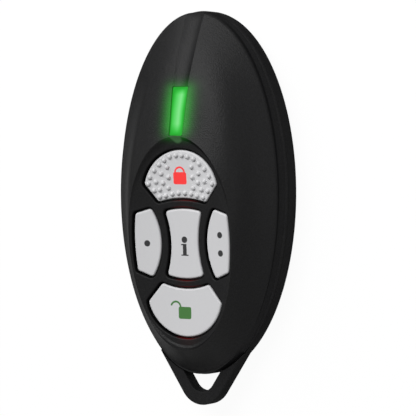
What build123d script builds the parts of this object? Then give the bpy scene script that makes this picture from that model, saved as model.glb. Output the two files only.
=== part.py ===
from build123d import *
import math
import os

# Alarm key fob: an oval two-shell remote with five buttons, a light window and a key loop.
# Units are millimetres. The fob lies on its back: +Z leaves the front, +Y points to the
# light end and X runs across. The origin is the centre of the flat back face.

# Overall sizes
body_length = 78.3
body_width = 42.0
back_depth = 6.0
dome_height = 12.5
shell_wall = 1.3
keypad_wall = 1.6
overrun = 1.0

# Joint between the two shells: a lip on the back shell stands inside the front shell
seam_chamfer = 0.18
lip_height = 1.5
lip_thickness = 0.9
lip_gap = 0.1
lip_inset = 2.2
lip_root_height = 1.6
lip_head_gap = 0.3

# Rim band round the front shell, the cove above it and the upright wall under the dome's crest
rim_height = 0.6
rim_round = 0.35
wall_inset_side = 1.4
wall_inset_light = 0.4
wall_inset_loop = 0.15
crest_round = 0.5
skirt_thickness = 1.6
cove_height = 1.8

# Stacked sections of the cove: height as a share of the cove's, and inset as a share of the wall's
cove_section_shares = [
    (0.14, 0.20),
    (0.28, 0.30),
    (0.42, 0.48),
    (0.58, 0.68),
    (0.75, 0.87),
    (0.90, 1.02),
    (1.00, 1.12),
]

# Stacked oval sections of the dome: height as a share of the dome's, half width as a share
# of the body's, and reach to the loop and to the light as shares of the half length
dome_section_shares = [
    (0.000, 1.050, 1.032, 1.150),
    (0.128, 0.974, 0.991, 1.078),
    (0.224, 0.912, 0.961, 1.020),
    (0.352, 0.829, 0.927, 0.933),
    (0.588, 0.712, 0.866, 0.758),
    (0.764, 0.631, 0.823, 0.576),
    (0.928, 0.553, 0.784, 0.312),
    (1.000, 0.505, 0.761, 0.057),
]

# Hollow keypad face: an oval dish, curved gently lengthwise and more across
keypad_half_width = 12.75
keypad_half_length = 22.45
keypad_centre_y = -10.7
keypad_low_y = -38.15
keypad_low_height = 7.03
keypad_radius_long = 367.0
keypad_radius_cross = 50.0
keypad_edge_width = 0.9
keypad_edge_height = 1.1
keypad_edge_round = 0.8

# Buttons
button_gap = 0.38
button_recess = 0.3
button_corner = 0.75
button_edge_round = 0.4
button_travel = 0.3
button_skin = 1.3
button_side_wall = 1.1
opening_round = 0.3
flange_reach = 0.42
flange_thickness = 0.9
flange_gap = 0.15
flange_inset_side = 1.1
flange_inset_end = 1.7
post_radius = 1.5

# Button outlines, as shares of the keypad's half width and half length from its centre
lock_shares = {"side": (0.706, 0.564), "corner": (0.459, 0.394), "tip": 0.889, "waist": 0.432}
unlock_shares = {"side": (0.714, -0.559), "corner": (0.455, -0.381), "tip": -0.889, "waist": -0.430}
info_shares = {"top": (0.358, 0.306), "bottom": (0.358, -0.301), "tips": (0.332, -0.334), "waist": 0.268}
side_inner_shares = {"top": (0.614, 0.332), "bottom": (0.621, -0.326), "middle": 0.447}
side_outer_shares = {"top": (0.896, 0.284), "bottom": (0.889, -0.265), "middle": 0.926}
switch_place_shares = {
    "lock": (0.0, 0.60),
    "info": (0.0, 0.0),
    "left": (-0.706, 0.0),
    "right": (0.706, 0.0),
    "unlock": (0.0, -0.635),
}

# Groove and light window
groove_depth = 0.6
window_half_width_top = 1.9
window_half_width_bottom = 1.58
window_top_y = 22.65
window_bottom_y = 12.3
window_corner = 0.3
window_gap = 0.06
window_recess = 0.15
pipe_flange_reach = 0.8
pipe_flange_height = 6.0
pipe_stem_length = 4.0
pipe_stem_width = 2.2

# Stations along the groove: place as a share of the half length, edge height as a share of
# the dome's height and half width as a share of the body's half width
groove_station_shares = [
    (0.540, 0.790, 0.092),
    (0.600, 0.748, 0.094),
    (0.758, 0.588, 0.111),
    (0.933, 0.352, 0.120),
    (1.020, 0.224, 0.128),
]

# Back shell
back_wall = 1.6
side_wall = 1.8
back_edge_round = 3.5
pocket_edge_round = 2.0

# Key loop, one piece with the back shell
loop_half_angle = 33.0
loop_side_reach = -0.2
loop_face_rise = 0.8
loop_thickness = 3.4
loop_leg_width = 2.68
loop_outer_corner = 5.5
loop_inner_corner = 3.15
loop_edge_round = 0.3
loop_shadow_gap = 0.25

# Case screw at the loop end and hook at the light end
screw_inset_y = 5.5
screw_shank_radius = 0.9
screw_head_radius = 1.9
screw_head_height = 1.4
screw_length = 7.6
screw_recess_depth = 2.0
screw_slot_width = 0.5
screw_slot_depth = 0.7
screw_thread_gap = 0.02
screw_clear_gap = 0.25
screw_boss_wall = 1.1
screw_boss_height = 4.0
screw_tip_gap = 0.3
hook_half_width = 3.0
hook_thickness = 1.2
hook_gap = 0.15
hook_catch = 0.5
hook_catch_height = 0.8
hook_root_height = 2.6

# Circuit board and the posts that carry it
board_thickness = 1.0
board_margin = 0.8
board_height = 5.7
board_post_radius = 1.2
board_pin_radius = 0.6
board_pin_gap = 0.1
board_pin_height = 1.4
board_post_shares = [(0.66, 0.58), (-0.66, 0.58), (0.62, -0.70), (-0.62, -0.70)]
boss_gap = 0.4

# Push switches
switch_size = 6.0
switch_height = 2.7
switch_well_floor = 0.6
switch_cover_thickness = 0.3
switch_cover_leg = 1.2
plunger_radius = 1.7
plunger_gap = 0.08
plunger_disc_radius = 1.98
plunger_disc_gap = 0.12
plunger_rise = 0.6
plunger_top_gap = 0.1
snap_height = 0.45
snap_thickness = 0.1
snap_gap = 0.05

# Coin cell and its contacts
cell_radius = 10.0
cell_height = 3.2
cell_shoulder = 1.2
cell_cap_height = 0.3
cell_place_share = -0.22
cell_ring_gap = 0.15
cell_ring_wall = 1.2
cell_ring_height = 2.2
cell_ring_opening = 7.0
contact_thickness = 0.2
contact_width = 4.0
contact_gap = 0.05
contact_tab = 2.6
contact_arm_length = 6.0

# Parts soldered to the board
led_size = (3.2, 1.6, 0.8)
led_gap = 0.15
controller_size = (6.0, 6.0, 0.9)
controller_place_shares = (-0.56, 0.30)
radio_size = (5.0, 5.0, 0.9)
radio_place_shares = (0.38, 0.60)
crystal_size = (3.2, 2.5, 0.8)
crystal_place_shares = (-0.05, 0.76)
small_part_size = (1.6, 0.8, 0.6)
small_part_place_shares = [
    (-0.34, 0.66),
    (-0.34, 0.72),
    (-0.34, 0.60),
    (0.10, 0.83),
    (0.28, 0.36),
    (0.42, 0.36),
    (0.56, 0.36),
    (0.56, 0.30),
    (0.56, 0.24),
    (-0.42, 0.12),
    (-0.56, 0.12),
    (0.56, -0.55),
    (-0.56, -0.55),
    (0.38, -0.70),
    (-0.38, -0.70),
]
antenna_inset = 1.2
antenna_width = 0.8
antenna_height = 1.2
antenna_start_share = 0.70

# Places worked out from the sizes
half_length = body_length / 2
half_width = body_width / 2
seam_z = back_depth
front_z = seam_z + dome_height + overrun
board_top = board_height + board_thickness
board_half_width = half_width - lip_inset - lip_thickness - board_margin
board_half_length = half_length - lip_inset - lip_thickness - board_margin
screw_y = -half_length + screw_inset_y
screw_boss_radius = screw_shank_radius + screw_boss_wall
screw_seat_z = screw_recess_depth
screw_tip_z = screw_seat_z + screw_length
plunger_top = board_top + switch_height + switch_cover_thickness + plunger_rise
cell_y = half_length * cell_place_share
window_centre_y = (window_top_y + window_bottom_y) / 2


def oval(half_x, half_y, z=0.0, y=0.0):
    """A flat oval face, level with the back."""
    return Pos(0, y, z) * Ellipse(half_x, half_y)


def oval_block(inset_x, inset_y, low, high):
    """An upright oval block between two heights, inset from the body's outline."""
    return extrude(oval(half_width - inset_x, half_length - inset_y, low), amount=high - low)


def prism(face, low, high):
    """A face on the level plane, raised between two heights."""
    return extrude(Pos(0, 0, low) * face, amount=high - low)


def block(low, high):
    """A box between two corners."""
    middle = [(a + b) / 2 for a, b in zip(low, high)]
    size = [b - a for a, b in zip(low, high)]
    return Pos(*middle) * Box(*size)


def wall_oval(share, z, inset=0.0):
    """A flat oval that stands in by a share of the wall's insets, and by an even inset."""
    to_light = half_length - share * wall_inset_light - inset
    to_loop = half_length - share * wall_inset_loop - inset
    half_x = half_width - share * wall_inset_side - inset
    return oval(half_x, (to_light + to_loop) / 2, z, (to_light - to_loop) / 2)


def rod(x, y, radius, low, high):
    """An upright round rod between two heights."""
    return Pos(x, y, (low + high) / 2) * Cylinder(radius, high - low)


def dome(inset=0.0):
    """The smooth dome above the seam, shrunk on all sides and lowered by an inset."""
    sections = []
    for high_share, side_share, loop_share, light_share in dome_section_shares:
        to_light = half_length * light_share - inset
        to_loop = half_length * loop_share - inset
        z = seam_z + dome_height * high_share - inset
        middle = (to_light - to_loop) / 2
        sections.append(oval(half_width * side_share - inset, (to_light + to_loop) / 2, z, middle))
    return loft(sections)


def above_keypad(lowered=0.0):
    """Everything over the keypad face, down to a depth below it."""
    ring = Torus(keypad_radius_long - keypad_radius_cross, keypad_radius_cross + lowered)
    middle_z = seam_z + keypad_low_height + keypad_radius_long
    return Pos(0, keypad_low_y, middle_z) * Rot(0, 90, 0) * ring


def keypad_height(x, y):
    """Height of the keypad face above the back at a place on it."""
    across = keypad_radius_cross - math.sqrt(keypad_radius_cross**2 - x**2)
    along = keypad_radius_long - math.sqrt(keypad_radius_long**2 - (y - keypad_low_y) ** 2)
    return seam_z + keypad_low_height + across + along


def scoop():
    """The tool that cuts the keypad dish: the space over its face inside a flared oval."""
    slope = keypad_edge_width / keypad_edge_height
    sink = dome_height / 2
    rise = dome_height
    tilt = math.degrees(math.asin((keypad_centre_y - keypad_low_y) / keypad_radius_long))
    floor_half_x = keypad_half_width - keypad_edge_width
    floor_half_y = keypad_half_length - keypad_edge_width
    low = oval(floor_half_x - sink * slope, floor_half_y - sink * slope, -sink)
    high = oval(floor_half_x + rise * slope, floor_half_y + rise * slope, rise)
    cone = Rot(tilt, 0, 0) * loft([low, high], ruled=True)
    cone = Pos(0, keypad_centre_y, keypad_height(0, keypad_centre_y)) * cone
    tool = cone & above_keypad()
    floor_face = tool.faces().sort_by(Axis.Z)[0]
    return fillet(floor_face.edges(), radius=keypad_edge_round)


def keypad_point(x_share, y_share, side=1):
    """A place on the keypad from its shares, on the right or mirrored to the left."""
    return (side * keypad_half_width * x_share, keypad_centre_y + keypad_half_length * y_share)


def grown(outline, amount):
    """A button outline pushed out or in, with its corners rounded to match."""
    face = offset(outline, amount=amount, kind=Kind.INTERSECTION) if amount else outline
    radius = button_corner + amount
    return fillet(face.vertices(), radius=radius) if radius > 0 else face


def end_button_face(shares):
    """Outline of the lock or unlock button: a round end, two short sides and a hollow edge."""
    right_side = keypad_point(*shares["side"])
    left_side = keypad_point(*shares["side"], side=-1)
    right_corner = keypad_point(*shares["corner"])
    left_corner = keypad_point(*shares["corner"], side=-1)
    end = ThreePointArc(left_side, keypad_point(0, shares["tip"]), right_side)
    right = Line(right_side, right_corner)
    hollow = ThreePointArc(right_corner, keypad_point(0, shares["waist"]), left_corner)
    left = Line(left_corner, left_side)
    return make_face([end, right, hollow, left])


def info_button_face():
    """Outline of the middle button: bowed ends and a narrow waist."""
    top_right = keypad_point(*info_shares["top"])
    top_left = keypad_point(*info_shares["top"], side=-1)
    low_right = keypad_point(*info_shares["bottom"])
    low_left = keypad_point(*info_shares["bottom"], side=-1)
    top_tip, low_tip = info_shares["tips"]
    top = ThreePointArc(top_left, keypad_point(0, top_tip), top_right)
    right = ThreePointArc(top_right, keypad_point(info_shares["waist"], 0), low_right)
    bottom = ThreePointArc(low_right, keypad_point(0, low_tip), low_left)
    left = ThreePointArc(low_left, keypad_point(info_shares["waist"], 0, side=-1), top_left)
    return make_face([top, right, bottom, left])


def side_button_face(side):
    """Outline of the left or right button: a bowed inner edge and a gently bowed outer one."""
    inner_top = keypad_point(*side_inner_shares["top"], side=side)
    inner_low = keypad_point(*side_inner_shares["bottom"], side=side)
    outer_top = keypad_point(*side_outer_shares["top"], side=side)
    outer_low = keypad_point(*side_outer_shares["bottom"], side=side)
    inner = ThreePointArc(inner_low, keypad_point(side_inner_shares["middle"], 0, side), inner_top)
    top = Line(inner_top, outer_top)
    outer = ThreePointArc(outer_top, keypad_point(side_outer_shares["middle"], 0, side), outer_low)
    bottom = Line(outer_low, inner_low)
    return make_face([inner, top, outer, bottom])


def button_outlines():
    """The five button outlines by name."""
    return {
        "lock": end_button_face(lock_shares),
        "left": side_button_face(-1),
        "info": info_button_face(),
        "right": side_button_face(1),
        "unlock": end_button_face(unlock_shares),
    }


def button(name, outline):
    """One button: a thin dished cap with a flange under the shell and a post on its switch."""
    x, y = keypad_point(*switch_place_shares[name])
    lowest = min(keypad_height(0, corner.Y) for corner in outline.vertices())
    flange_low = lowest - keypad_wall - flange_gap - flange_thickness
    cap = prism(grown(outline, 0), flange_low, front_z) - above_keypad(button_recess)
    top_face = cap.faces().filter_by(GeomType.TORUS).sort_by(Axis.Z)[-1]
    cap = fillet(top_face.edges(), radius=button_edge_round)
    flange_limit_x = keypad_half_width - flange_inset_side
    flange_limit_y = keypad_half_length - flange_inset_end
    flange_outline = grown(outline, button_gap + flange_reach)
    flange_outline &= oval(flange_limit_x, flange_limit_y, 0, keypad_centre_y)
    flange = prism(flange_outline, flange_low, front_z) - above_keypad(keypad_wall + flange_gap)
    hollow = prism(grown(outline, -button_side_wall), flange_low, front_z)
    hollow -= above_keypad(button_recess + button_skin)
    post = rod(x, y, post_radius, plunger_top, front_z) - above_keypad(button_recess + button_edge_round)
    return cap + flange - hollow + post


def window_face(margin=0.0):
    """Outline of the light window, which narrows towards the keypad, with a margin round it."""
    corners = [
        (-window_half_width_top, window_top_y),
        (window_half_width_top, window_top_y),
        (window_half_width_bottom, window_bottom_y),
        (-window_half_width_bottom, window_bottom_y),
    ]
    face = make_face(Polyline(*corners, close=True))
    face = fillet(face.vertices(), radius=window_corner)
    return offset(face, amount=margin) if margin else face


def groove():
    """The shallow hollow that runs from the light window out through the light end."""
    sections = []
    for place_share, height_share, width_share in groove_station_shares:
        width = half_width * width_share
        radius = (width**2 + groove_depth**2) / (2 * groove_depth)
        z = seam_z + dome_height * height_share - groove_depth + radius
        sections.append(Plane((0, half_length * place_share, z), z_dir=(0, 1, 0)) * Circle(radius))
    return loft(sections)


def screw_boss():
    """The post inside the front shell that the case screw bites into."""
    boss = rod(0, screw_y, screw_boss_radius, seam_z, seam_z + screw_boss_height)
    return boss & dome(shell_wall / 2)


def hook():
    """The catch at the light end that hooks under the back shell's lip."""
    lip_inner_y = half_length - lip_inset - lip_thickness
    outer_y = lip_inner_y - hook_gap
    inner_y = outer_y - hook_thickness
    low_z = seam_z - lip_root_height - hook_gap - hook_catch_height
    root_low = seam_z + lip_height + lip_head_gap
    leg = block((-hook_half_width, inner_y, low_z), (hook_half_width, outer_y, root_low))
    leg &= oval_block(lip_inset + lip_thickness + hook_gap, half_length - outer_y, low_z, root_low)
    root_y = half_length - wall_inset_light - skirt_thickness / 2
    root_top = root_low + hook_root_height
    root = block((-hook_half_width, inner_y, root_low), (hook_half_width, root_y, root_top))
    catch_y = outer_y + hook_gap + hook_catch
    catch = block((-hook_half_width, inner_y, low_z), (hook_half_width, catch_y, low_z + hook_catch_height))
    catch &= oval_block(side_wall + hook_gap, side_wall + hook_gap, low_z, root_low)
    return leg + catch + (root & dome(shell_wall / 2))


def rim_and_cove():
    """The rim band at the seam, and the cove that sweeps up from it to the wall."""
    rim = oval_block(0, 0, seam_z, seam_z + rim_height)
    rim = fillet(rim.edges().group_by(Axis.Z)[-1], radius=rim_round)
    rim = chamfer(rim.edges().group_by(Axis.Z)[0], length=seam_chamfer)
    sections = [
        wall_oval(inset_share, seam_z + cove_height * high_share)
        for high_share, inset_share in cove_section_shares
    ]
    return rim + loft(sections)


def crested_dome():
    """The dome on its upright wall, with the crest between them rounded."""
    low_z = seam_z + rim_height / 2
    body = dome() & extrude(wall_oval(1, low_z), amount=front_z - low_z)
    wall = body.faces().filter_by(GeomType.EXTRUSION)[0]
    return fillet(wall.edges().filter_by(GeomType.BSPLINE), radius=crest_round)


def rounded_openings(shell):
    """The shell with the rims of its button openings rounded."""
    keypad = shell.faces().filter_by(GeomType.TORUS).sort_by(Axis.Z)[-1]
    edges = [edge for wire in keypad.inner_wires() for edge in wire.edges()]
    return fillet(edges, radius=opening_round)


def front_shell(outlines):
    """The front shell: rim, cove, dome, keypad dish, groove, openings and inside fixings."""
    inside = dome(shell_wall) - above_keypad(keypad_wall)
    inside &= extrude(wall_oval(1, seam_z, skirt_thickness), amount=front_z - seam_z)
    lip_room = lip_inset - lip_gap
    skirt = oval_block(lip_room, lip_room, seam_z, seam_z + lip_height + lip_head_gap)
    shell = crested_dome() + rim_and_cove() - scoop() - groove() - inside - skirt
    for outline in outlines.values():
        shell -= prism(grown(outline, button_gap), seam_z, front_z)
    shell = rounded_openings(shell)
    shell -= prism(window_face(window_gap), seam_z, front_z)
    thread = rod(0, screw_y, screw_shank_radius + screw_thread_gap, seam_z, screw_tip_z + screw_tip_gap)
    return shell + screw_boss() - thread + hook()


def loop_plate():
    """The key loop: a rounded V that leaves the body's outline and carries a rounded hole."""
    half_angle = math.radians(loop_half_angle)
    across = half_width * math.cos(half_angle)
    along = half_length * math.sin(half_angle)
    reach = math.hypot(across, along) + loop_side_reach
    tangent_x = half_width * across / math.hypot(across, along)
    low_z = seam_z + loop_face_rise - loop_thickness
    tip_y = -reach / math.sin(half_angle)
    top_y = tip_y + tangent_x / math.tan(half_angle)
    outer = Polygon((0, tip_y), (tangent_x, top_y), (-tangent_x, top_y), align=None)
    outer = fillet(outer.vertices().sort_by(Axis.Y)[0], radius=loop_outer_corner)
    hole_tip_y = tip_y + loop_leg_width / math.sin(half_angle)
    hole_x = (top_y - hole_tip_y) * math.tan(half_angle)
    hole = Polygon((0, hole_tip_y), (hole_x, top_y), (-hole_x, top_y), align=None)
    hole = fillet(hole.vertices().sort_by(Axis.Y)[0], radius=loop_inner_corner)
    plate = prism(outer - hole, low_z, seam_z + loop_face_rise)
    plate = fillet(plate.edges().filter_by(Plane.XY), radius=loop_edge_round)
    shadow = oval_block(-loop_shadow_gap, -loop_shadow_gap, seam_z, front_z)
    return plate - shadow


def cell_ring():
    """The wall that keeps the coin cell in place, open at both sides for contact and finger."""
    inner = cell_radius + cell_ring_gap
    outer = inner + cell_ring_wall
    top = back_wall + cell_ring_height
    ring = rod(0, cell_y, outer, back_wall / 2, top) - rod(0, cell_y, inner, back_wall / 2, top)
    half_gap = cell_ring_opening / 2
    return ring - block((-outer, cell_y - half_gap, back_wall), (outer, cell_y + half_gap, top))


def board_place(x_share, y_share):
    """A place on the circuit board from shares of its half sizes."""
    return (board_half_width * x_share, board_half_length * y_share)


def back_shell():
    """The back shell: tray, lip, key loop, cell wall, board posts and screw well."""
    tray = oval_block(0, 0, 0, seam_z)
    tray = fillet(tray.edges().group_by(Axis.Z)[0], radius=back_edge_round)
    tray = chamfer(tray.edges().group_by(Axis.Z)[-1], length=seam_chamfer)
    root_z = seam_z - lip_root_height
    pocket = oval_block(side_wall, side_wall, back_wall, root_z)
    pocket = fillet(pocket.edges().group_by(Axis.Z)[0], radius=pocket_edge_round)
    lip_inner = lip_inset + lip_thickness
    mouth = oval_block(lip_inner, lip_inner, root_z, seam_z + lip_height)
    lip = oval_block(lip_inset, lip_inset, root_z, seam_z + lip_height)
    well = rod(0, screw_y, screw_boss_radius + screw_boss_wall, back_wall / 2, seam_z - lip_gap)
    shell = tray + lip - pocket - mouth + loop_plate() + cell_ring() + well
    shell -= rod(0, screw_y, screw_head_radius + screw_clear_gap, 0, screw_seat_z)
    shell -= rod(0, screw_y, screw_shank_radius + screw_clear_gap, 0, seam_z)
    for shares in board_post_shares:
        x, y = board_place(*shares)
        shell += rod(x, y, board_post_radius, back_wall / 2, board_height)
        shell += rod(x, y, board_pin_radius, board_height, board_height + board_pin_height)
    return shell


def case_screw():
    """The self-tapping screw that holds the shells together at the loop end."""
    head = rod(0, screw_y, screw_head_radius, screw_seat_z - screw_head_height, screw_seat_z)
    shank = rod(0, screw_y, screw_shank_radius, screw_seat_z, screw_tip_z)
    low_z = screw_seat_z - screw_head_height
    reach = screw_head_radius - screw_slot_width
    half_slot = screw_slot_width / 2
    slot_top = low_z + screw_slot_depth
    along = block((-reach, screw_y - half_slot, low_z), (reach, screw_y + half_slot, slot_top))
    across = block((-half_slot, screw_y - reach, low_z), (half_slot, screw_y + reach, slot_top))
    return head + shank - along - across


def light_pipe():
    """The clear light window with its inside flange and the stem that stands over the lamp."""
    window = prism(window_face(), seam_z + pipe_flange_height, front_z) & dome(window_recess)
    flange = prism(window_face(pipe_flange_reach), seam_z + pipe_flange_height, front_z)
    flange = (flange & dome(shell_wall + window_gap)) - above_keypad(keypad_wall + window_gap)
    low_z = board_top + led_size[2] + led_gap
    half_x = pipe_stem_width / 2
    half_y = pipe_stem_length / 2
    stem_low = (-half_x, window_centre_y - half_y, low_z)
    stem = block(stem_low, (half_x, window_centre_y + half_y, seam_z + pipe_flange_height))
    return window + flange + stem


def circuit_board():
    """The board: an oval cut square at the ends, with holes over the locating pins."""
    low_y = screw_y + screw_boss_radius + screw_boss_wall + boss_gap
    high_y = half_length - lip_inset - lip_thickness - hook_gap - hook_thickness - boss_gap
    outline = Ellipse(board_half_width, board_half_length)
    outline &= Pos(0, (low_y + high_y) / 2) * Rectangle(body_width, high_y - low_y)
    board = prism(outline, board_height, board_top)
    for shares in board_post_shares:
        x, y = board_place(*shares)
        board -= rod(x, y, board_pin_radius + board_pin_gap, board_height, board_top)
    return board


def chip(size, x, y):
    """A flat part soldered on top of the board."""
    return Pos(x, y, board_top + size[2] / 2) * Box(*size)


def switch_housing(x, y):
    """The plastic base of a push switch, with a round well for its plunger."""
    well_radius = plunger_disc_radius + plunger_disc_gap
    top = board_top + switch_height
    base = chip((switch_size, switch_size, switch_height), x, y)
    return base - rod(x, y, well_radius, board_top + switch_well_floor, top)


def switch_cover(x, y):
    """The thin metal cover of a push switch, folded down on two sides."""
    low = board_top + switch_height
    high = low + switch_cover_thickness
    half = switch_size / 2
    outer = half + switch_cover_thickness
    plate = block((x - outer, y - half, low), (x + outer, y + half, high))
    for side in (-1, 1):
        edges = sorted((x + side * half, x + side * outer))
        plate += block((edges[0], y - half, low - switch_cover_leg), (edges[1], y + half, low))
    return plate - rod(x, y, plunger_radius + plunger_gap, low, high)


def switch_plunger(x, y):
    """The round plunger of a push switch: a pin through the cover on a wider disc."""
    disc_top = board_top + switch_height - plunger_top_gap
    low = board_top + switch_well_floor + snap_height + snap_gap + button_travel
    return rod(x, y, plunger_radius, low, plunger_top) + rod(x, y, plunger_disc_radius, low, disc_top)


def switch_snap_dome(x, y):
    """The shallow sprung disc that clicks under a plunger."""
    radius = (plunger_disc_radius**2 + snap_height**2) / (2 * snap_height)
    low = board_top + switch_well_floor
    middle = Pos(x, y, low + snap_height - radius)
    cap = middle * Sphere(radius) - middle * Sphere(radius - snap_thickness)
    return cap & rod(x, y, plunger_disc_radius, low, low + 2 * snap_height)


def coin_cell():
    """The lithium coin cell: a can with a smaller raised cap towards the board."""
    top = back_wall + cell_height
    can = rod(0, cell_y, cell_radius, back_wall, top - cell_cap_height)
    can = fillet(can.edges(), radius=cell_cap_height)
    return can + rod(0, cell_y, cell_radius - cell_shoulder, top - 2 * cell_cap_height, top)


def negative_contact():
    """The sprung leaf under the board that touches the cell's cap."""
    cell_top = back_wall + cell_height + contact_gap
    start = cell_y - contact_arm_length / 2
    end = cell_y + contact_arm_length / 2
    top = board_height
    tab_y = start - contact_tab
    points = [(tab_y, top), (start, top), (end, cell_top + contact_thickness), (end, cell_top)]
    points += [(start, top - contact_thickness), (tab_y, top - contact_thickness)]
    face = make_face(Polyline(*points, close=True))
    return Plane.YZ.offset(-contact_width / 2) * extrude(face, amount=contact_width)


def positive_contact():
    """The side contact that stands from the board to the can's wall."""
    near = cell_radius + contact_gap
    half = contact_width / 2
    low = back_wall + contact_width / 4
    far = near + contact_thickness
    tab_low = board_height - contact_thickness
    leaf = block((near, cell_y - half, low), (far, cell_y + half, board_height))
    return leaf + block((far, cell_y - half, tab_low), (far + contact_tab, cell_y + half, board_height))


def loop_antenna():
    """The metal band that stands round the board's light end."""
    outer = (board_half_width - antenna_inset, board_half_length - antenna_inset)
    inner = (outer[0] - antenna_width, outer[1] - antenna_width)
    start_y = board_half_length * antenna_start_share
    band = Ellipse(*outer) - Ellipse(*inner)
    band &= Pos(0, start_y + half_length / 2) * Rectangle(body_width, half_length)
    return prism(band, board_top, board_top + antenna_height)


def save(name, shape):
    """Write one piece to its own file."""
    export_step(shape, os.path.join("parts", name + ".step"))


def save_group(name, shapes):
    """Write several like pieces to one file, as separate solids."""
    solids = [solid for shape in shapes for solid in shape.solids()]
    save(name, Compound(children=solids))



os.makedirs("parts", exist_ok=True)
outlines = button_outlines()
switch_places = {name: keypad_point(*shares) for name, shares in switch_place_shares.items()}

save("front_shell", front_shell(outlines))
save("back_shell", back_shell())
save("case_screw", case_screw())
save("light_pipe", light_pipe())
for name, outline in outlines.items():
    save(name + "_button", button(name, outline))
    save(name + "_switch_plunger", switch_plunger(*switch_places[name]))
save_group("switch_housings", [switch_housing(*place) for place in switch_places.values()])
save_group("switch_covers", [switch_cover(*place) for place in switch_places.values()])
save_group("switch_snap_domes", [switch_snap_dome(*place) for place in switch_places.values()])
save("circuit_board", circuit_board())
save("coin_cell", coin_cell())
save("negative_contact", negative_contact())
save("positive_contact", positive_contact())
save("status_led", chip(led_size, 0, window_centre_y))
save("controller_chip", chip(controller_size, *board_place(*controller_place_shares)))
save("radio_chip", chip(radio_size, *board_place(*radio_place_shares)))
save("crystal", chip(crystal_size, *board_place(*crystal_place_shares)))
small_parts = [chip(small_part_size, *board_place(*shares)) for shares in small_part_place_shares]
save_group("small_parts", small_parts)
save("loop_antenna", loop_antenna())
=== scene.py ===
from math import cos, radians, sin, sqrt

import bpy
from mathutils import Matrix, Vector


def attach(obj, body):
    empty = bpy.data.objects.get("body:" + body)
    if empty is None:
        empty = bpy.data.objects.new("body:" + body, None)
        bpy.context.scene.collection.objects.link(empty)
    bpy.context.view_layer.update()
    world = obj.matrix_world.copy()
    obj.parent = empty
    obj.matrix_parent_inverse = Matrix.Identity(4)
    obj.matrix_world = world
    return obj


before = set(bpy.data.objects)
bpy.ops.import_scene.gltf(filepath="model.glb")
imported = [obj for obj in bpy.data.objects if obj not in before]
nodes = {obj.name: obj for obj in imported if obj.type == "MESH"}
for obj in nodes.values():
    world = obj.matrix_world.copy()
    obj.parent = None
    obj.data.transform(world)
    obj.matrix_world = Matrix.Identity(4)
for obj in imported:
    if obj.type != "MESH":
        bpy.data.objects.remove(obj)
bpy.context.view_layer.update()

# The table and the room
# A matt white table under the key fob and a white room round it. Both are set
# dressing, made in metres, and belong to no part of the object.

mm = 0.001
white = (1.0, 1.0, 1.0)
table_reach = 6.0
table_drop = 0.0001
table_blots_per_mm = 0.02
table_tints = ((0.4, (0.80, 0.80, 0.80)), (0.6, (0.816, 0.816, 0.816)))
table_roughness = 0.8
table_lit_share = 0.06
table_white_strength = 1.016
room_light = 0.08


def plug(socket, value):
    """Links a wire to a socket, or sets a plain value or colour on it."""
    if isinstance(value, Wire):
        value.tree.links.new(value.socket, socket)
    elif socket.type == "RGBA":
        socket.default_value = (*value, 1.0)
    else:
        socket.default_value = value


class Wire:
    """A node's output, in any node tree, that sums can be written with."""

    def __init__(self, tree, socket=None):
        self.tree, self.socket = tree, socket

    def node(self, kind, sockets=None, out=0, stops=(), **settings):
        """Adds a node: its settings and ramp stops, then what its sockets hold."""
        made = self.tree.nodes.new(kind)
        for name, value in settings.items():
            setattr(made, name, value)
        if stops:
            ramp = made.color_ramp.elements
            while len(ramp) < len(stops):
                ramp.new(1.0)
            for element, (place, colour) in zip(ramp, stops):
                element.position = place
                element.color = (*colour, 1.0)
        for name, value in (sockets or {}).items():
            plug(made.inputs[name], value)
        return Wire(self.tree, made.outputs[out])

    def also(self, out):
        """Another output of the same node."""
        return Wire(self.tree, self.socket.node.outputs[out])

    def maths(self, operation, *others):
        values = dict(enumerate((self, *others)))
        return self.node("ShaderNodeMath", values, operation=operation)

    def __add__(self, other):
        return self.maths("ADD", other)

    def __sub__(self, other):
        return self.maths("SUBTRACT", other)

    def __mul__(self, other):
        return self.maths("MULTIPLY", other)

    def __truediv__(self, other):
        return self.maths("DIVIDE", other)

    def __neg__(self):
        return self * -1.0

    def __abs__(self):
        return self.maths("ABSOLUTE")

    def __rsub__(self, other):
        return -self + other

    __radd__ = __add__
    __rmul__ = __mul__

    def least(self, other):
        return self.maths("MINIMUM", other)

    def most(self, other):
        return self.maths("MAXIMUM", other)

    def clamped(self):
        return self.least(1.0).most(0.0)

    def ramp(self, *stops):
        """A colour picked by this value from (place, colour) stops."""
        return self.node("ShaderNodeValToRGB", {0: self}, stops=stops)

    def pick(self, low, high):
        """One colour where this value is 0, and another where it is 1."""
        sockets = {0: self, 6: low, 7: high}
        return self.node("ShaderNodeMix", sockets, out=2, data_type="RGBA")

    def noise(self, scale, detail=2.0):
        """Random mottling on this position, in blots one over the scale wide."""
        sockets = {"Vector": self, "Scale": scale, "Detail": detail}
        return self.node("ShaderNodeTexNoise", sockets)

    def bump(self, strength, depth):
        """A surface direction tilted by this height, up to a depth in millimetres."""
        sockets = {"Height": self, "Strength": strength, "Distance": depth * mm}
        return self.node("ShaderNodeBump", sockets)


def only_node(tree, kind):
    """The one node of a kind that a new tree comes with."""
    return next(node for node in tree.nodes if node.type == kind)


def new_material(name):
    """A material, its main shader, and its object coordinates in millimetres."""
    made = bpy.data.materials.new(name)
    made.use_nodes = True
    place = Wire(made.node_tree).node("ShaderNodeTexCoord", out="Object")
    to_mm = {0: place, "Scale": 1 / mm}
    place = place.node("ShaderNodeVectorMath", to_mm, operation="SCALE")
    return made, only_node(made.node_tree, "BSDF_PRINCIPLED"), place


def feed(shader, **looks):
    """Links wires to the shader's sockets, or sets plain values on them."""
    for name, value in looks.items():
        plug(shader.inputs[name.replace("_", " ")], value)


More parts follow.
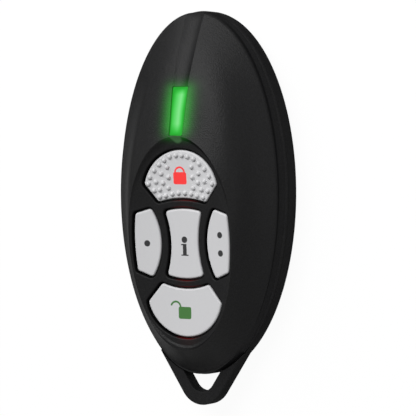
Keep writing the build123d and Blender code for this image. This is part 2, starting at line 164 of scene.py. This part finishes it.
def show_mixed(shader, other, share):
    """Lets the material show its main shader with a share of another one."""
    tree = share.tree
    sockets = {0: share, 1: Wire(tree, shader.outputs[0]), 2: other}
    mixed = share.node("ShaderNodeMixShader", sockets)
    plug(only_node(tree, "OUTPUT_MATERIAL").inputs["Surface"], mixed)


def ray_share(start):
    """1 for what the camera sees, also through glass and in metal, else 0."""
    camera_ray = start.node("ShaderNodeLightPath", out="Is Camera Ray")
    mirrored = camera_ray.also("Is Glossy Ray")
    passed = camera_ray.also("Is Transmission Ray")
    return camera_ray.most(mirrored).most(passed)


def add_mesh(name, corners, faces, finish):
    """A new object from corner places in metres and its faces."""
    mesh = bpy.data.meshes.new(name)
    mesh.from_pydata(corners, [], faces)
    mesh.materials.append(finish)
    made = bpy.data.objects.new(name, mesh)
    bpy.context.scene.collection.objects.link(made)
    return made


table_finish, shader, place = new_material("table_white")
feed(
    shader,
    Base_Color=place.noise(table_blots_per_mm).ramp(*table_tints),
    Roughness=table_roughness,
)
lit_white = {"Color": white, "Strength": table_white_strength}
lit = place.node("ShaderNodeEmission", lit_white)
show_mixed(shader, lit, ray_share(place) * (1 - table_lit_share))
corners = [
    (x * table_reach, y * table_reach, -table_drop)
    for x, y in ((-1, -1), (1, -1), (1, 1), (-1, 1))
]
add_mesh("table", corners, [(0, 1, 2, 3)], table_finish)

room = bpy.data.worlds.new("room")
bpy.context.scene.world = room
room.use_nodes = True
background = only_node(room.node_tree, "BACKGROUND")
seen = ray_share(Wire(room.node_tree))
plug(background.inputs["Color"], white)
plug(background.inputs["Strength"], seen * (1 - room_light) + room_light)

# The lamps and the camera
# A large soft lamp over the light end, a small low one to its left that shades
# the dome and the raised dots, and a weak one on the right. The camera stands
# to the right of the fob's front. Places and lamp sizes are in metres.

seam_height = 0.006
middle_y = 0.00025
camera_turn = radians(31.0)
camera_lift = 0.018
camera_distance = 0.5
camera_aim = (0.00101, -0.00352)
camera_lens = 200.55
camera_near = 0.01

middle = Vector((0, middle_y, seam_height))
to_camera = Vector(
    (
        sin(camera_turn) * cos(camera_lift),
        sin(camera_lift),
        cos(camera_turn) * cos(camera_lift),
    )
)
to_right = Vector((cos(camera_turn), 0, -sin(camera_turn)))
to_top = to_camera.cross(to_right)


def facing(place, target):
    """The pose of a lamp or camera at a place, turned to a target."""
    back = (place - target).normalized()
    right = Vector((0, 1, 0)).cross(back).normalized()
    turned = Matrix((right, back.cross(right), back)).transposed().to_4x4()
    return Matrix.Translation(place) @ turned


view_camera = bpy.data.objects.new("camera", bpy.data.cameras.new("camera"))
bpy.context.scene.collection.objects.link(view_camera)
aim = middle + to_right * camera_aim[0] + to_top * camera_aim[1]
view_camera.matrix_world = facing(middle + to_camera * camera_distance, aim)
view_camera.data.lens = camera_lens
view_camera.data.clip_start = camera_near
bpy.context.scene.camera = view_camera
bpy.context.scene.view_settings.view_transform = "Standard"

# Each lamp's place, width, height and watts
lamps = {
    "soft_top_left": ((-0.08, 0.50, 0.80), 0.7, 0.5, 8.35),
    "low_left": ((-0.50, 0.52, 0.45), 0.3, 0.3, 1.9),
    "weak_right": ((0.60, 0.10, 0.45), 0.25, 0.6, 0.7),
}
for name, (spot, wide, high, watts) in lamps.items():
    lamp = bpy.data.lights.new(name, "AREA")
    lamp.shape = "RECTANGLE"
    lamp.size, lamp.size_y, lamp.energy = wide, high, watts
    placed = bpy.data.objects.new(name, lamp)
    bpy.context.scene.collection.objects.link(placed)
    placed.matrix_world = facing(Vector(spot), middle)

# The coin cell and its contacts
# A pressed can of bright steel with a smaller cap. A sprung leaf touches the cap
# and a side contact the can's wall; both are plated bronze, soldered to the
# board. Sizes are in millimetres from here on.

brush_scale = (0.4, 9.0, 9.0)
brush_detail = 4.0
brushed_tints = ((0.3, (0.52, 0.52, 0.51)), (0.7, (0.68, 0.67, 0.65)))
brushed_roughness = 0.18
brushed_roughness_spread = 0.2
brush_strength = 0.2
brush_depth = 0.02
grains_per_blot = 8
grain_detail = 3.0
grain_strength = 0.3
dull_at = 0.35
pale_at = 0.65
tint_spread = 0.15
roughness_spread = 0.12


def shade(tint, times):
    """A colour made paler or darker."""
    return tuple(part * times for part in tint)


def give(names, finish):
    """Puts one material on CAD nodes, by their slots."""
    for name in names:
        nodes[name].material_slots[0].material = finish


def plain_finish(name, tint, rough, metal=0.0, grains_per_mm=5.0, grain_depth=0.01):
    """A material of one tint with mottling, uneven gloss and fine grain."""
    finish, shader, place = new_material(name)
    blots = place.noise(grains_per_mm / grains_per_blot)
    grain = place.noise(grains_per_mm, grain_detail)
    dull = shade(tint, 1 - tint_spread)
    pale = shade(tint, 1 + tint_spread / 2)
    feed(
        shader,
        Base_Color=blots.ramp((dull_at, dull), (pale_at, pale)),
        Metallic=metal,
        Roughness=grain * roughness_spread + (rough - roughness_spread / 2),
        Normal=grain.bump(grain_strength, grain_depth),
    )
    return finish


can_finish, shader, place = new_material("nickelled_can")
stretched = {"Vector": place, "Scale": brush_scale}
streaks = place.node("ShaderNodeMapping", stretched).noise(1.0, brush_detail)
feed(
    shader,
    Base_Color=streaks.ramp(*brushed_tints),
    Metallic=1.0,
    Roughness=streaks * brushed_roughness_spread + brushed_roughness,
    Normal=streaks.bump(brush_strength, brush_depth),
)
give(["coin_cell"], can_finish)
give(
    ["negative_contact", "positive_contact"],
    plain_finish("plated_bronze", (0.72, 0.60, 0.38), rough=0.3, metal=1.0, grains_per_mm=4.0),
)

# The circuit board and its parts
# A two-layer board in green solder mask with copper tracks under it, on pins of
# the back shell. Two black epoxy chips, a metal-cased crystal, ceramic chip
# parts and a tinned loop antenna are soldered to it.

black = (0.0, 0.0, 0.0)
dull_track = (0.75, 0.75, 0.75)
track_scale = 0.8
track_length = 1.7
track_width = 0.6
track_gap = 0.03
track_share = 0.6
track_strength = 0.4
track_height = 0.03
mask_blots_per_mm = 0.35
mask_greens = ((0.2, (0.010, 0.075, 0.030)), (0.8, (0.016, 0.150, 0.052)))
mask_roughness = 0.28
mask_roughness_spread = 0.15

board_finish, shader, place = new_material("green_board")
tracks = place.node(
    "ShaderNodeTexBrick",
    {
        "Vector": place,
        "Color1": white,
        "Color2": dull_track,
        "Mortar": black,
        "Scale": track_scale,
        "Mortar Size": track_gap,
        "Brick Width": track_length,
        "Row Height": track_width,
    },
)
blots = place.noise(mask_blots_per_mm)
copper = tracks * track_share + blots * (1 - track_share)
feed(
    shader,
    Base_Color=copper.ramp(*mask_greens),
    Roughness=blots * mask_roughness_spread + mask_roughness,
    Normal=tracks.bump(track_strength, track_height),
)
give(["circuit_board"], board_finish)
give(
    ["controller_chip", "radio_chip"],
    plain_finish(
        "black_epoxy",
        (0.020, 0.020, 0.021),
        rough=0.55,
        grains_per_mm=6.0,
        grain_depth=0.02,
    ),
)
give(
    ["crystal"],
    plain_finish("crystal_can", (0.66, 0.65, 0.62), rough=0.28, metal=1.0, grains_per_mm=3.0),
)
give(["small_parts"], plain_finish("ceramic_parts", (0.36, 0.25, 0.16), rough=0.5))
give(
    ["loop_antenna"],
    plain_finish("tinned_band", (0.70, 0.70, 0.69), rough=0.32, metal=1.0, grains_per_mm=4.0),
)

# The push switches and their plungers
# Black housings with folded steel covers, soldered to the board under the keys.
# In each a sprung steel disc snaps under a dark grey plastic plunger.

give(["switch_housings"], plain_finish("switch_black", (0.026, 0.026, 0.027), rough=0.5))
give(["switch_covers"], plain_finish("switch_steel", (0.62, 0.62, 0.61), rough=0.3, metal=1.0))
give(
    ["switch_snap_domes"],
    plain_finish(
        "snap_steel",
        (0.74, 0.73, 0.70),
        rough=0.2,
        metal=1.0,
        grains_per_mm=6.0,
        grain_depth=0.005,
    ),
)
give(
    [name for name in nodes if name.endswith("_plunger")],
    plain_finish("plunger_grey", (0.16, 0.16, 0.17), rough=0.5),
)

# The light window and its lamp
# A clear acrylic light pipe over a green lamp on the board. Its flange holds it
# under the front shell. It glows along its middle and is a deeper green round
# its edge.

window_middle = (0.0, 17.475)
window_reach = 5.175
window_half_width = 1.74
window_flare = 0.031
window_tint = (0.01, 0.03, 0.01)
window_gloss = 0.05
window_grains_per_mm = 6.0
window_roughness = 0.25
window_roughness_spread = 0.1
rim_width = 0.22
rim_softness = 0.06
rim_green = (0.006, 0.32, 0.012)
streak_x = 0.22
streak_lean = 0.08
glow_middle = 1.08
glow_fade_left = 0.52
glow_fade_right = 0.92
glow_top_margin = 0.3
glow_top_rise = 0.7
glow_low_margin = 0.2
glow_low_rise = 0.44
glow_greens = (
    (0.00, (0.0, 0.36, 0.010)),
    (0.25, (0.026, 0.50, 0.042)),
    (0.50, (0.072, 0.62, 0.098)),
    (0.75, (0.128, 0.69, 0.160)),
    (1.00, (0.198, 0.75, 0.232)),
)


def split(place):
    """The three parts of a position."""
    x = place.node("ShaderNodeSeparateXYZ", {0: place})
    return x, x.also(1), x.also(2)


def length(x, y):
    return (x * x + y * y).maths("SQRT")


def box_edge(x, y, middle, half, corner=0.0):
    """Distance from the edge of a rounded rectangle, less than zero inside it."""
    across = abs(x - middle[0]) - (half[0] - corner)
    along = abs(y - middle[1]) - (half[1] - corner)
    outside = length(across.most(0.0), along.most(0.0))
    return outside + across.most(along).least(0.0) - corner


def inside(edge, softness=0.05):
    """1 inside an edge and 0 outside it, with a narrow soft step."""
    step = {
        "Value": edge,
        "From Min": -softness,
        "From Max": softness,
        "To Min": 1.0,
        "To Max": 0.0,
    }
    return edge.node("ShaderNodeMapRange", step)


def window_edge(x, y, reach):
    """Distance from the edge of the light window, which narrows to the keypad."""
    half_width = (y - window_middle[1]) * window_flare + window_half_width
    return box_edge(x, y, window_middle, (half_width, reach))


window_finish, shader, place = new_material("lit_window")
x, y, z = split(place)
from_middle = y - window_middle[1]
from_top = window_reach - glow_top_margin - from_middle
from_low = window_reach - glow_low_margin + from_middle
off_streak = x - (from_middle.most(0.0) * streak_lean + streak_x)
fade = (off_streak * glow_fade_right).most(off_streak * -glow_fade_left)
glow = (glow_middle - fade).clamped()
glow = glow * (from_top * glow_top_rise).clamped()
glow = glow * (from_low * glow_low_rise).clamped()
core = inside(window_edge(x, y, window_reach) + rim_width, rim_softness)
grain = place.noise(window_grains_per_mm)
feed(
    shader,
    Base_Color=window_tint,
    Roughness=grain * window_roughness_spread + window_roughness,
    Emission_Color=core.pick(rim_green, glow.ramp(*glow_greens)),
    Emission_Strength=1.0,
    Specular_IOR_Level=window_gloss,
)
give(["light_pipe", "status_led"], window_finish)

# The two halves of the case
# Matt black ABS with a fine spark-eroded texture, moulded in two halves that
# meet at the seam; the back half carries the key loop. The window's light on
# the front half is painted on as a green glow, and a faint red glow is painted
# into the gaps round the keys. Painted shade darkens the walls of those gaps
# and a ring round the window opening.

shell_tint = (0.0042, 0.0042, 0.0045)
shell_tints = ((0.35, shade(shell_tint, 0.5)), (0.65, shade(shell_tint, 1.6)))
shell_gloss = 0.12
shell_blots_per_mm = 0.12
shell_roughness = 0.33
shell_roughness_spread = 0.08
shell_grains_per_mm = 3.6
shell_grain_strength = 0.9
shell_grain_depth = 0.09
crest_height = 8.55
crest_rise = 0.018
crest_softness = 0.3
flank_roughness = 0.3
matt_from = 0.28
matt_range = 0.45
matt_most = 0.72

keypad_height = 13.03
keypad_low_y = -38.15
keypad_radius_long = 367.0
keypad_radius_cross = 50.0
keypad_middle = (0.0, -10.7)
keypad_half = (12.3, 22.0)
keypad_softness = 0.02
gap_depth = 0.05
gap_softness = 0.06
gap_glow_red = (0.07, 0.0, 0.0)
gap_glow_x = 0.5
gap_glow_reach = 3.5
gap_glow_top = 7.0

spill_reach = 4.5
spill_brightness = 0.27
spill_fade = 1.65
spill_curve = 1.6
spill_green = (0.05, 1.0, 0.06)
spill_low_y = 9.8
spill_low_rise = 0.22
spill_top_y = 28.9
spill_top_fall = 0.1
window_rim_shade_width = 0.14
window_rim_shade_softness = 0.04
window_rim_shade_share = 0.45
glow_patch_middle = (-0.1, 12.25)
glow_patch_half = (1.35, 1.5)
glow_patch_softness = 0.15
glow_patch_green = (0.032, 0.10, 0.032)


def under_keypad(x, y, z):
    """How far a place lies under the dished keypad face."""
    along = y - keypad_low_y
    across = x * x / (2 * keypad_radius_cross)
    return across + along * along / (2 * keypad_radius_long) + keypad_height - z


def oval_edge(x, y, middle, half):
    """How far outside an oval a place lies, as a share of the oval's size."""
    return length((x - middle[0]) / half[0], (y - middle[1]) / half[1]) - 1.0


shell_finish, shader, place = new_material("textured_black")
x, y, z = split(place)

# Painted shade: inside the keypad, the shell below the keypad face, that is the walls of the
# gaps round the keys, is painted black and made rougher.
in_keypad = inside(oval_edge(x, y, keypad_middle, keypad_half), keypad_softness)
gap = in_keypad * inside(gap_depth - under_keypad(x, y, z), gap_softness)
# Painted light: a faint red glow is painted into the key gaps, strongest near the middle and
# only below the window.
red_glow = (1.0 - abs(x - gap_glow_x) / gap_glow_reach).most(0.0) * gap
red_glow = red_glow * inside(y - gap_glow_top)

# Painted shade: a narrow ring round the window opening is painted black, made rougher, and
# dims the painted green glow there.
window_rim_shade = inside(window_edge(x, y, window_reach) - window_rim_shade_width, window_rim_shade_softness)
# Painted light: the window's green light on the front half is painted on as a glow that fades
# away from the window and out towards both ends.
from_window = window_edge(x, y, spill_reach).most(0.0)
spill = -(from_window / spill_fade).maths("POWER", spill_curve)
spill = spill.maths("EXPONENT") * spill_brightness
spill = spill * ((y - spill_low_y) * spill_low_rise).clamped()
spill = spill * ((spill_top_y - y) * spill_top_fall).clamped()
spill = spill * (1.0 - window_rim_shade * window_rim_shade_share)
# Painted light: a small green glow patch is painted on the shell at the lower end of the
# window.
glow_patch = inside(oval_edge(x, y, glow_patch_middle, glow_patch_half), glow_patch_softness)
glow = glow_patch.pick(spill.ramp((0.0, black), (1.0, spill_green)), glow_patch_green)
glow = red_glow.pick(glow, gap_glow_red)

painted_shade = gap.most(window_rim_shade)
flank = inside(z - crest_height - y * crest_rise, crest_softness)
grain = place.noise(shell_grains_per_mm, grain_detail)
roughness = place.noise(shell_blots_per_mm) * shell_roughness_spread + shell_roughness
feed(
    shader,
    Base_Color=painted_shade.pick(grain.ramp(*shell_tints), black),
    Roughness=roughness + flank.most(painted_shade) * flank_roughness,
    Specular_IOR_Level=shell_gloss,
    Emission_Color=glow,
    Emission_Strength=1.0,
    Normal=grain.bump(shell_grain_strength, shell_grain_depth),
)
matt = place.node(
    "ShaderNodeBsdfPrincipled",
    {
        "Base Color": shell_tint,
        "Roughness": 1.0,
        "Specular IOR Level": 0.0,
        "Emission Color": glow,
        "Emission Strength": 1.0,
    },
)
edge_on = place.node("ShaderNodeLayerWeight", {"Blend": 0.5}, out="Facing")
matt_share = ((edge_on - matt_from) / matt_range).most(0.0).least(matt_most)
show_mixed(shader, matt, matt_share)
give(["front_shell", "back_shell"], shell_finish)

# The case screw
# One small self-tapping steel screw near the key loop, driven from the back into
# a boss of the front half. At the light end a hook holds the halves together.

give(
    ["case_screw"],
    plain_finish(
        "screw_steel",
        (0.50, 0.50, 0.50),
        rough=0.35,
        metal=1.0,
        grains_per_mm=4.0,
        grain_depth=0.02,
    ),
)

# The keys and their printed signs
# Five keys of light grey ABS with soft edges, dished with the keypad, each on a
# switch of its own. A closed and an open padlock, an information sign and three
# dots are pad-printed.

key_tint = (0.617, 0.617, 0.629)
key_tints = ((0.3, shade(key_tint, 0.97)), (0.7, key_tint))
key_gloss = 0.2
key_roughness = 0.40
key_roughness_spread = 0.08
key_grains_per_mm = 5.0
key_grain_strength = 0.1
key_grain_depth = 0.03
key_recess = 0.3
lit_depth = 0.45
lit_softness = 0.1
painted_wall_shade = (0.06, 0.06, 0.06)

red_ink = (1.0, 0.055, 0.055)
green_ink = (0.058, 0.172, 0.045)
dark_ink = (0.028, 0.028, 0.029)
hoop_line = 0.39
body_corner = 0.42
closed_body = ((-0.34, 3.24), (1.62, 1.30))
closed_hoop = ((-0.34, 4.42), 1.14)
closed_foot = 4.2
open_body = ((-0.37, -25.54), (1.56, 1.30))
open_hoop = ((-2.6, -24.3), 1.13)
open_foot = -24.2
open_foot_lean = -0.155
letter_stem = ((0.0, -12.0), (0.46, 1.25))
letter_serifs = (((-0.32, -10.92), (0.55, 0.14)), ((0.0, -13.17), (0.88, 0.13)))
serif_corner = 0.05
letter_dot = ((0.0, -9.87), 0.70)
side_dots = ((-8.91, -10.79), (9.28, -8.69), (9.31, -12.55))
side_dot_radius = 0.68

key_finish, shader, place = new_material("key_grey")
x, y, z = split(place)


def round_edge(middle, radius):
    """Distance from the edge of a round dot."""
    return length(x - middle[0], y - middle[1]) - radius


def hoop_edge(middle, radius, foot):
    """Distance from the edge of a padlock's hoop, which stands above its foot."""
    hoop = abs(round_edge(middle, radius)) - hoop_line / 2
    return hoop.most(foot - y)


closed_lock = box_edge(x, y, *closed_body, body_corner)
closed_lock = closed_lock.least(hoop_edge(*closed_hoop, closed_foot))
leaning_foot = (x - open_hoop[0][0]) * open_foot_lean + open_foot
open_lock = box_edge(x, y, *open_body, body_corner)
open_lock = open_lock.least(hoop_edge(*open_hoop, leaning_foot))
dark_sign = box_edge(x, y, *letter_stem)
for serif in letter_serifs:
    dark_sign = dark_sign.least(box_edge(x, y, *serif, serif_corner))
dark_sign = dark_sign.least(round_edge(*letter_dot))
for dot in side_dots:
    dark_sign = dark_sign.least(round_edge(dot, side_dot_radius))

grain = place.noise(key_grains_per_mm)
paint = grain.ramp(*key_tints)
for ink, sign in ((red_ink, closed_lock), (green_ink, open_lock), (dark_ink, dark_sign)):
    paint = inside(sign).pick(paint, ink)
# Painted shade: below the key face, the key's sides and flange are painted dark, where they
# sit in the gaps.
depth = under_keypad(x, y, z) - key_recess
lit = inside(depth - lit_depth, lit_softness)
feed(
    shader,
    Base_Color=lit.pick(painted_wall_shade, paint),
    Roughness=grain * key_roughness_spread + key_roughness,
    Specular_IOR_Level=key_gloss,
    Normal=grain.bump(key_grain_strength, key_grain_depth),
)
give([name for name in nodes if name.endswith("_button")], key_finish)

# The raised dots on the lock key
# Thirty-eight small round bumps moulded with the lock key, so that a thumb can
# find it: one row round its edge and a group on each side of the padlock.

bump_width = 1.1
bump_height = 0.5
bump_sides = 16
bump_rings = 8
edge_row = (
    (-7.92, 1.95), (-6.68, 0.55), (-5.42, -0.78), (-4.04, -0.53), (-2.45, -0.13),
    (-0.86, 0.07), (0.70, 0.09), (2.27, -0.09), (3.81, -0.45), (5.35, -0.81),
    (6.64, 0.57), (7.90, 2.09), (7.22, 3.68), (6.09, 5.18), (4.81, 6.31),
    (3.39, 7.34), (1.89, 7.81), (0.43, 8.09), (-1.01, 8.09), (-2.54, 7.80),
    (-3.91, 7.04), (-5.19, 6.08), (-6.43, 4.84), (-7.52, 3.40),
)
side_groups = (
    (-3.31, 5.61), (-4.84, 4.18), (-3.14, 3.43), (-6.17, 2.40), (-4.50, 2.18),
    (-5.33, 0.78), (-3.29, 1.14), (2.73, 5.69), (4.43, 4.29), (2.80, 3.46),
    (4.17, 2.34), (5.90, 2.60), (2.94, 1.19), (5.00, 0.87),
)


def on_key(x, y):
    """A place on the dished face of a key, in metres, and its upward direction."""
    across = sqrt(keypad_radius_cross**2 - x**2)
    along = sqrt(keypad_radius_long**2 - (y - keypad_low_y) ** 2)
    z = keypad_height + keypad_radius_cross - across
    z += keypad_radius_long - along - key_recess
    upward = Vector((-x / across, -(y - keypad_low_y) / along, 1)).normalized()
    return Vector((x, y, z)) * mm, upward


def new_tree(name, **inputs):
    """A geometry tree with one mesh in and out, and named inputs for its sizes."""
    made = bpy.data.node_groups.new(name, "GeometryNodeTree")
    sockets = [("Mesh", "INPUT", "Geometry"), ("Mesh", "OUTPUT", "Geometry")]
    sockets += [(label.replace("_", " "), "INPUT", kind) for label, kind in inputs.items()]
    for label, way, kind in sockets:
        made.interface.new_socket(label, in_out=way, socket_type="NodeSocket" + kind)
    entry = made.nodes.new("NodeGroupInput")
    leave = made.nodes.new("NodeGroupOutput")
    wires = {socket.name: Wire(made, socket) for socket in entry.outputs if socket.name}
    return made, wires, leave


def grown_by(tree, name, points, upwards, **values):
    """The plain mesh that a tree grows from points, as an object."""
    seeds = add_mesh(name + "_seeds", points, [], values["Finish"])
    tilt = seeds.data.attributes.new("upward", "FLOAT_VECTOR", "POINT")
    for row, upward in zip(tilt.data, upwards):
        row.vector = upward
    grower = seeds.modifiers.new("grow", "NODES")
    grower.node_group = tree
    for socket in tree.interface.items_tree:
        if socket.in_out == "INPUT" and socket.name != "Mesh":
            grower[socket.identifier] = values[socket.name.replace(" ", "_")]
    seen = seeds.evaluated_get(bpy.context.evaluated_depsgraph_get())
    grown = bpy.data.objects.new(name, bpy.data.meshes.new_from_object(seen))
    bpy.context.scene.collection.objects.link(grown)
    bpy.data.objects.remove(seeds)
    return grown


bump_tree, wires, leave = new_tree(
    "bumps_on_a_key",
    Bump_width="Float",
    Bump_height="Float",
    Sides="Int",
    Rings="Int",
    Finish="Material",
)
points, wide, high = wires["Mesh"], wires["Bump width"], wires["Bump height"]
ball = points.node(
    "GeometryNodeMeshUVSphere",
    {"Segments": wires["Sides"], "Rings": wires["Rings"], "Radius": 0.5},
)
squash = points.node("ShaderNodeCombineXYZ", {0: wide, 1: wide, 2: high * 2.0})
bump = points.node("GeometryNodeTransform", {"Geometry": ball, "Scale": squash})
upward = points.node(
    "GeometryNodeInputNamedAttribute", {"Name": "upward"}, data_type="FLOAT_VECTOR"
)
turn = points.node("FunctionNodeAlignRotationToVector", {"Vector": upward}, axis="Z")
bumps = points.node(
    "GeometryNodeInstanceOnPoints",
    {"Points": points, "Instance": bump, "Rotation": turn},
)
bumps = points.node("GeometryNodeRealizeInstances", {0: bumps})
bumps = points.node("GeometryNodeSetShadeSmooth", {"Geometry": bumps})
bumps = points.node(
    "GeometryNodeSetMaterial", {"Geometry": bumps, "Material": wires["Finish"]}
)
plug(leave.inputs[0], bumps)

places = [on_key(*spot) for spot in edge_row + side_groups]
lock_bumps = grown_by(
    bump_tree,
    "lock_bumps",
    [spot for spot, upward in places],
    [upward for spot, upward in places],
    Bump_width=bump_width * mm,
    Bump_height=bump_height * mm,
    Sides=bump_sides,
    Rings=bump_rings,
    Finish=key_finish,
)
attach(lock_bumps, "lock")
